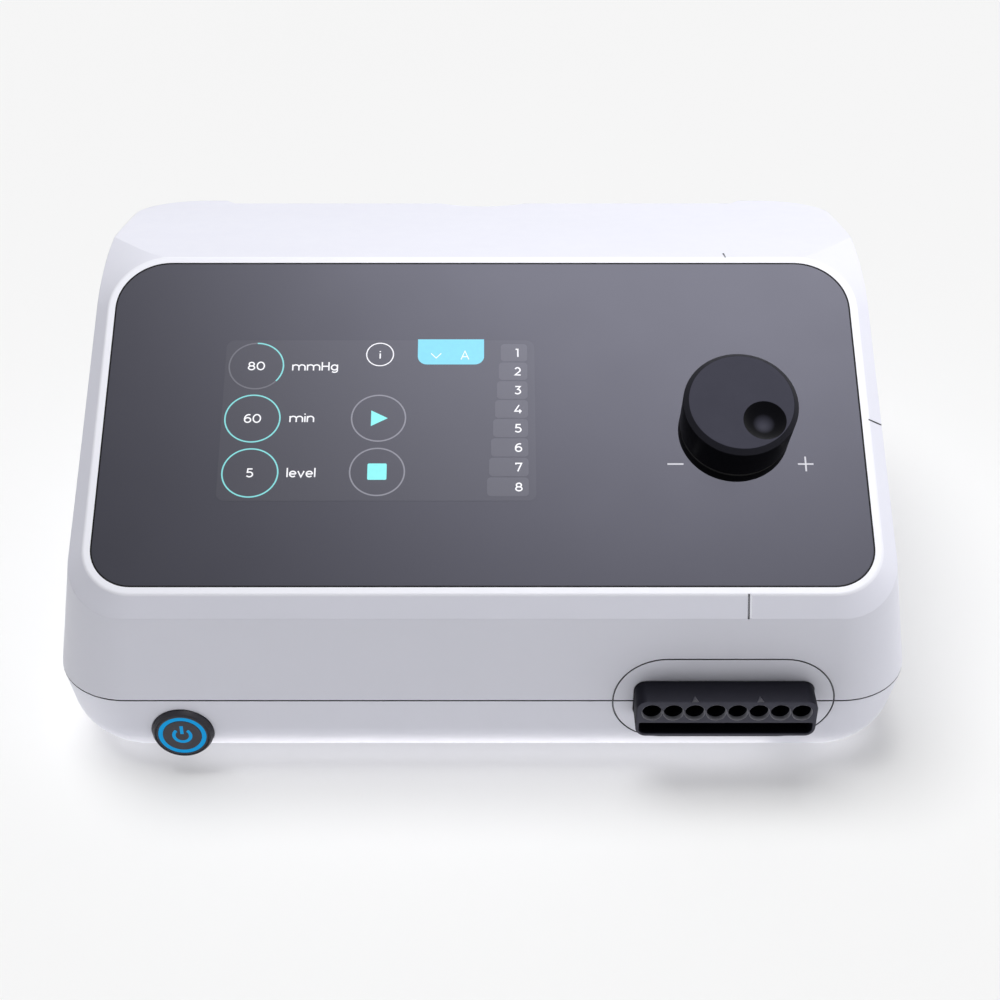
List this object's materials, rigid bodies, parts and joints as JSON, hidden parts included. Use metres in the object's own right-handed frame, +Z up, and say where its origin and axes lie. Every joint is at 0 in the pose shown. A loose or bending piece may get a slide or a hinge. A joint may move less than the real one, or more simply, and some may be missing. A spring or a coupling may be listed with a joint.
{
  "type": "compression therapy pump",
  "caption": "Desktop air pump for compression sleeves: white wedge case, tilted dark glass panel with display, round turn knob, lit power button and a row of hose sockets.",
  "frame": {"origin": "on the table under the feet, in the middle of the whole object seen from above", "axes": "+X to the user's right along the panel, +Y to the rear, +Z up"},
  "size_m": [0.29, 0.2246, 0.1364],
  "materials": {
    "case_white": "satin white moulded ABS",
    "plate_grey": "fine matt moulded grey",
    "steel": "zinc-plated screws",
    "sheet_steel": "rolled sheet",
    "laminated_steel": "stacked laminations",
    "rubber_black": "matt rubber",
    "panel_glass": "back-printed dark grey glass",
    "display_black": "black display module",
    "knob_black": "satin black, turned look",
    "black_nylon": "moulded nylon",
    "board_green": "solder mask",
    "button_grey": "dark grey satin",
    "button_blue": "lit blue light guide",
    "socket_black": "satin black moulding",
    "manifold_alu": "milled",
    "cast_alu": "die cast",
    "copper": "enamelled copper winding",
    "brass": "plated brass",
    "silicone": "clear silicone hose",
    "felt": "felt pad",
    "inlet_black": "moulded black"
  },
  "bodies": {
    "root": {"upper_shell": "case_white", "lower_shell": "case_white", "rear_plate": "plate_grey", "rear_screws": "steel", "feet": "rubber_black", "case_screws": "steel", "front_glass": "panel_glass", "display_module": "display_black", "display_bracket": "sheet_steel", "knob_base_ring": "knob_black", "encoder_body": "black_nylon", "encoder_nut": "brass", "encoder_board": "board_green", "power_button_bezel": "button_grey", "power_button_nut": "black_nylon", "hose_socket": "socket_black", "socket_gasket": "rubber_black", "valve_manifold": "manifold_alu", "valve_coils": "black_nylon", "compressor_base": "sheet_steel", "compressor_mounts": "rubber_black", "compressor_frame": "cast_alu", "compressor_cores": "laminated_steel", "compressor_coils": "copper", "diaphragm_left": "rubber_black", "diaphragm_right": "rubber_black", "pump_head_left": "cast_alu", "pump_head_right": "cast_alu", "head_screws": "steel", "air_tank": "black_nylon", "compressor_hose": "silicone", "manifold_hose": "silicone", "sensor_hose": "silicone", "pressure_sensor": "black_nylon", "inlet_filter": "felt", "main_board": "board_green", "board_chips": "black_nylon", "board_screws": "steel", "supply_board": "board_green", "supply_transformer": "laminated_steel", "supply_capacitors": "black_nylon", "mains_inlet": "inlet_black", "fuse_drawer": "inlet_black", "inlet_pins": "brass", "fan_frame": "inlet_black"},
    "knob_push": {"encoder_stem": "black_nylon"},
    "knob": {"knob_cap": "knob_black", "encoder_shaft": "sheet_steel"},
    "power_button": {"power_button_cap": "button_grey", "power_button_light": "button_blue"},
    "compressor_armature": {"armature": "sheet_steel"},
    "fan": {"fan_rotor": "inlet_black"},
    "plunger_1": {"valve_plunger_1": "steel"},
    "plunger_2": {"valve_plunger_2": "steel"},
    "plunger_3": {"valve_plunger_3": "steel"},
    "plunger_4": {"valve_plunger_4": "steel"},
    "plunger_5": {"valve_plunger_5": "steel"},
    "plunger_6": {"valve_plunger_6": "steel"},
    "plunger_7": {"valve_plunger_7": "steel"},
    "plunger_8": {"valve_plunger_8": "steel"}
  },
  "joints": [
    {"name": "knob_press", "type": "slide", "parent": "root", "child": "knob_push", "axis": [0, 0.4741, -0.8805], "range_m": [0, 0.0005], "stiffness_N_per_m": 4000},
    {"name": "knob_turn", "type": "hinge", "parent": "knob_push", "child": "knob", "pos_m": [0.0848, -0.0451, 0.10314], "axis": [0, -0.4741, 0.8805], "continuous": true},
    {"name": "power_button_press", "type": "slide", "parent": "root", "child": "power_button", "axis": [0, 1, 0], "range_m": [0, 0.0015], "stiffness_N_per_m": 1500},
    {"name": "armature_slide", "type": "slide", "parent": "root", "child": "compressor_armature", "axis": [1, 0, 0], "range_m": [-0.0015, 0.0015], "stiffness_N_per_m": 9000},
    {"name": "fan_spin", "type": "hinge", "parent": "root", "child": "fan", "pos_m": [0.055, 0.09903, 0.07], "axis": [0, 1, 0], "continuous": true},
    {"name": "valve_lift_1", "type": "slide", "parent": "root", "child": "plunger_1", "axis": [0, 0, 1], "range_m": [0, 0.0008], "stiffness_N_per_m": 800},
    {"name": "valve_lift_2", "type": "slide", "parent": "root", "child": "plunger_2", "axis": [0, 0, 1], "range_m": [0, 0.0008], "stiffness_N_per_m": 800},
    {"name": "valve_lift_3", "type": "slide", "parent": "root", "child": "plunger_3", "axis": [0, 0, 1], "range_m": [0, 0.0008], "stiffness_N_per_m": 800},
    {"name": "valve_lift_4", "type": "slide", "parent": "root", "child": "plunger_4", "axis": [0, 0, 1], "range_m": [0, 0.0008], "stiffness_N_per_m": 800},
    {"name": "valve_lift_5", "type": "slide", "parent": "root", "child": "plunger_5", "axis": [0, 0, 1], "range_m": [0, 0.0008], "stiffness_N_per_m": 800},
    {"name": "valve_lift_6", "type": "slide", "parent": "root", "child": "plunger_6", "axis": [0, 0, 1], "range_m": [0, 0.0008], "stiffness_N_per_m": 800},
    {"name": "valve_lift_7", "type": "slide", "parent": "root", "child": "plunger_7", "axis": [0, 0, 1], "range_m": [0, 0.0008], "stiffness_N_per_m": 800},
    {"name": "valve_lift_8", "type": "slide", "parent": "root", "child": "plunger_8", "axis": [0, 0, 1], "range_m": [0, 0.0008], "stiffness_N_per_m": 800}
  ]
}
